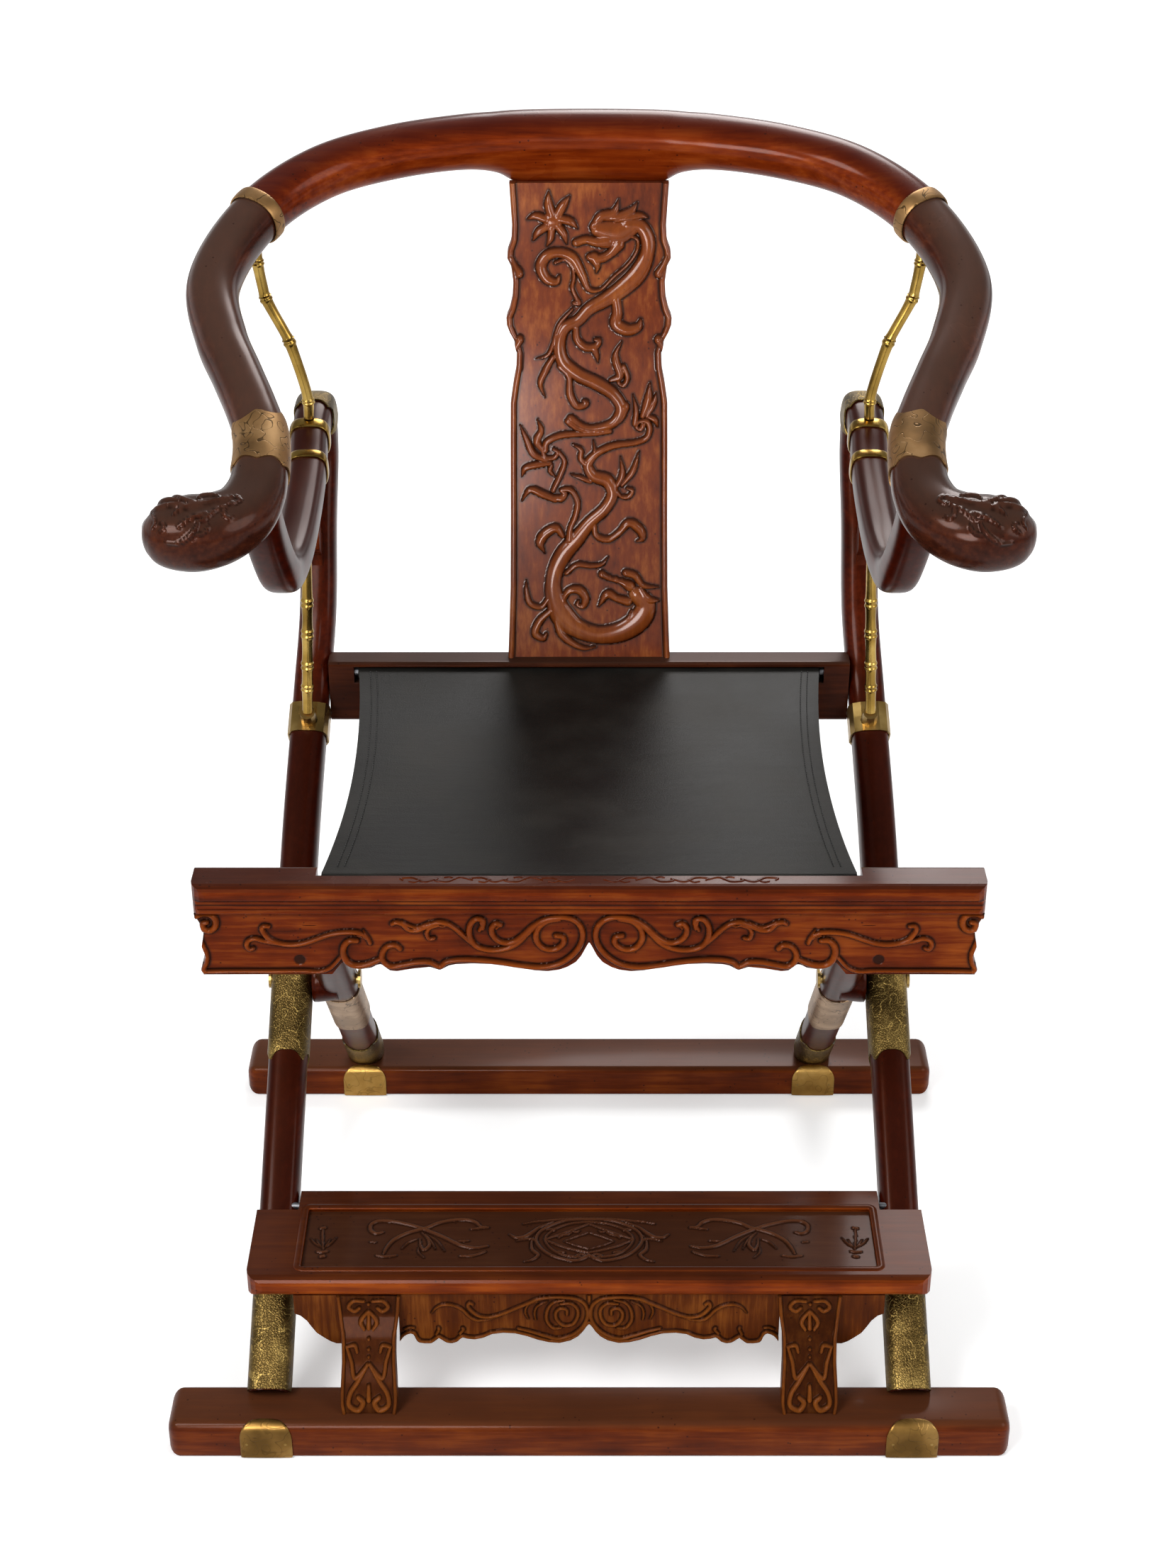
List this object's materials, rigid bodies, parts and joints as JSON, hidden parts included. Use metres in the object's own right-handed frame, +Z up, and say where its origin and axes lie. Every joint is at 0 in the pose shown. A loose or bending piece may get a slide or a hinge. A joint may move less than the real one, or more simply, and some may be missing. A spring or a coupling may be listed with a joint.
{
  "type": "folding armchair",
  "caption": "Horseshoe-back folding armchair with crossed legs, carved back splat, brass mounts, leather sling seat and a lifting footrest.",
  "frame": {"origin": "bottom centre of the whole chair, on the floor", "axes": "+Z up, the sitter faces -Y, +X to the viewer's right"},
  "size_m": [0.73, 0.7418, 0.9798],
  "materials": {
    "wood": "polished reddish-brown hardwood",
    "dark_wood": "polished dark reddish-brown hardwood",
    "brass": "aged engraved brass",
    "steel": "plain steel bar",
    "leather": "semi-gloss black leather"
  },
  "bodies": {
    "outer_frame": {"crest_rail_centre": "dark_wood", "front_floor_stretcher": "wood", "rear_seat_rail": "wood", "rear_seat_bar": "steel", "seat_sling": "leather", "back_splat": "wood", "crest_rail_left": "dark_wood", "crest_rail_right": "dark_wood", "crest_collar_left": "brass", "crest_collar_right": "brass", "arm_plate_left": "brass", "arm_plate_right": "brass", "goose_neck_left": "wood", "goose_neck_right": "wood", "neck_cap_left": "brass", "neck_cap_right": "brass", "neck_band_left": "brass", "neck_band_right": "brass", "neck_ring_left": "brass", "neck_ring_right": "brass", "outer_leg_left": "wood", "outer_leg_right": "wood", "pivot_sleeve_left": "brass", "pivot_sleeve_right": "brass", "outer_foot_sleeve_left": "brass", "outer_foot_sleeve_right": "brass", "pivot_pin_left": "brass", "pivot_pin_right": "brass", "outer_foot_plate_left": "brass", "outer_foot_plate_right": "brass", "upper_rod_left": "brass", "upper_rod_right": "brass", "rod_collar_left": "brass", "rod_collar_right": "brass", "lower_rod_left": "brass", "lower_rod_right": "brass", "spandrel_left": "wood", "spandrel_right": "wood"},
    "inner_frame": {"rear_floor_stretcher": "dark_wood", "front_seat_rail": "wood", "front_apron": "wood", "front_seat_bar": "steel", "inner_leg_left": "wood", "inner_leg_right": "wood", "inner_pivot_band_left": "brass", "inner_pivot_band_right": "brass", "inner_foot_sleeve_left": "brass", "inner_foot_sleeve_right": "brass", "inner_foot_plate_left": "brass", "inner_foot_plate_right": "brass"},
    "footrest": {"footrest_frame": "dark_wood", "footrest_panel": "wood", "footrest_apron": "wood", "footrest_pin_left": "steel", "footrest_pin_right": "steel", "footrest_leg_left": "wood", "footrest_leg_right": "wood", "footrest_bracket_left": "wood", "footrest_bracket_right": "wood"}
  },
  "joints": [
    {"name": "fold", "type": "hinge", "parent": "outer_frame", "child": "inner_frame", "pos_m": [0, -0.02836, 0.27], "axis": [-1, 0, 0], "range_deg": [0, 75], "deforming": ["seat_sling"]},
    {"name": "footrest_lift", "type": "hinge", "parent": "outer_frame", "child": "footrest", "pos_m": [0, -0.20816, 0.147], "axis": [-1, 0, 0], "range_deg": [0, 90]}
  ]
}
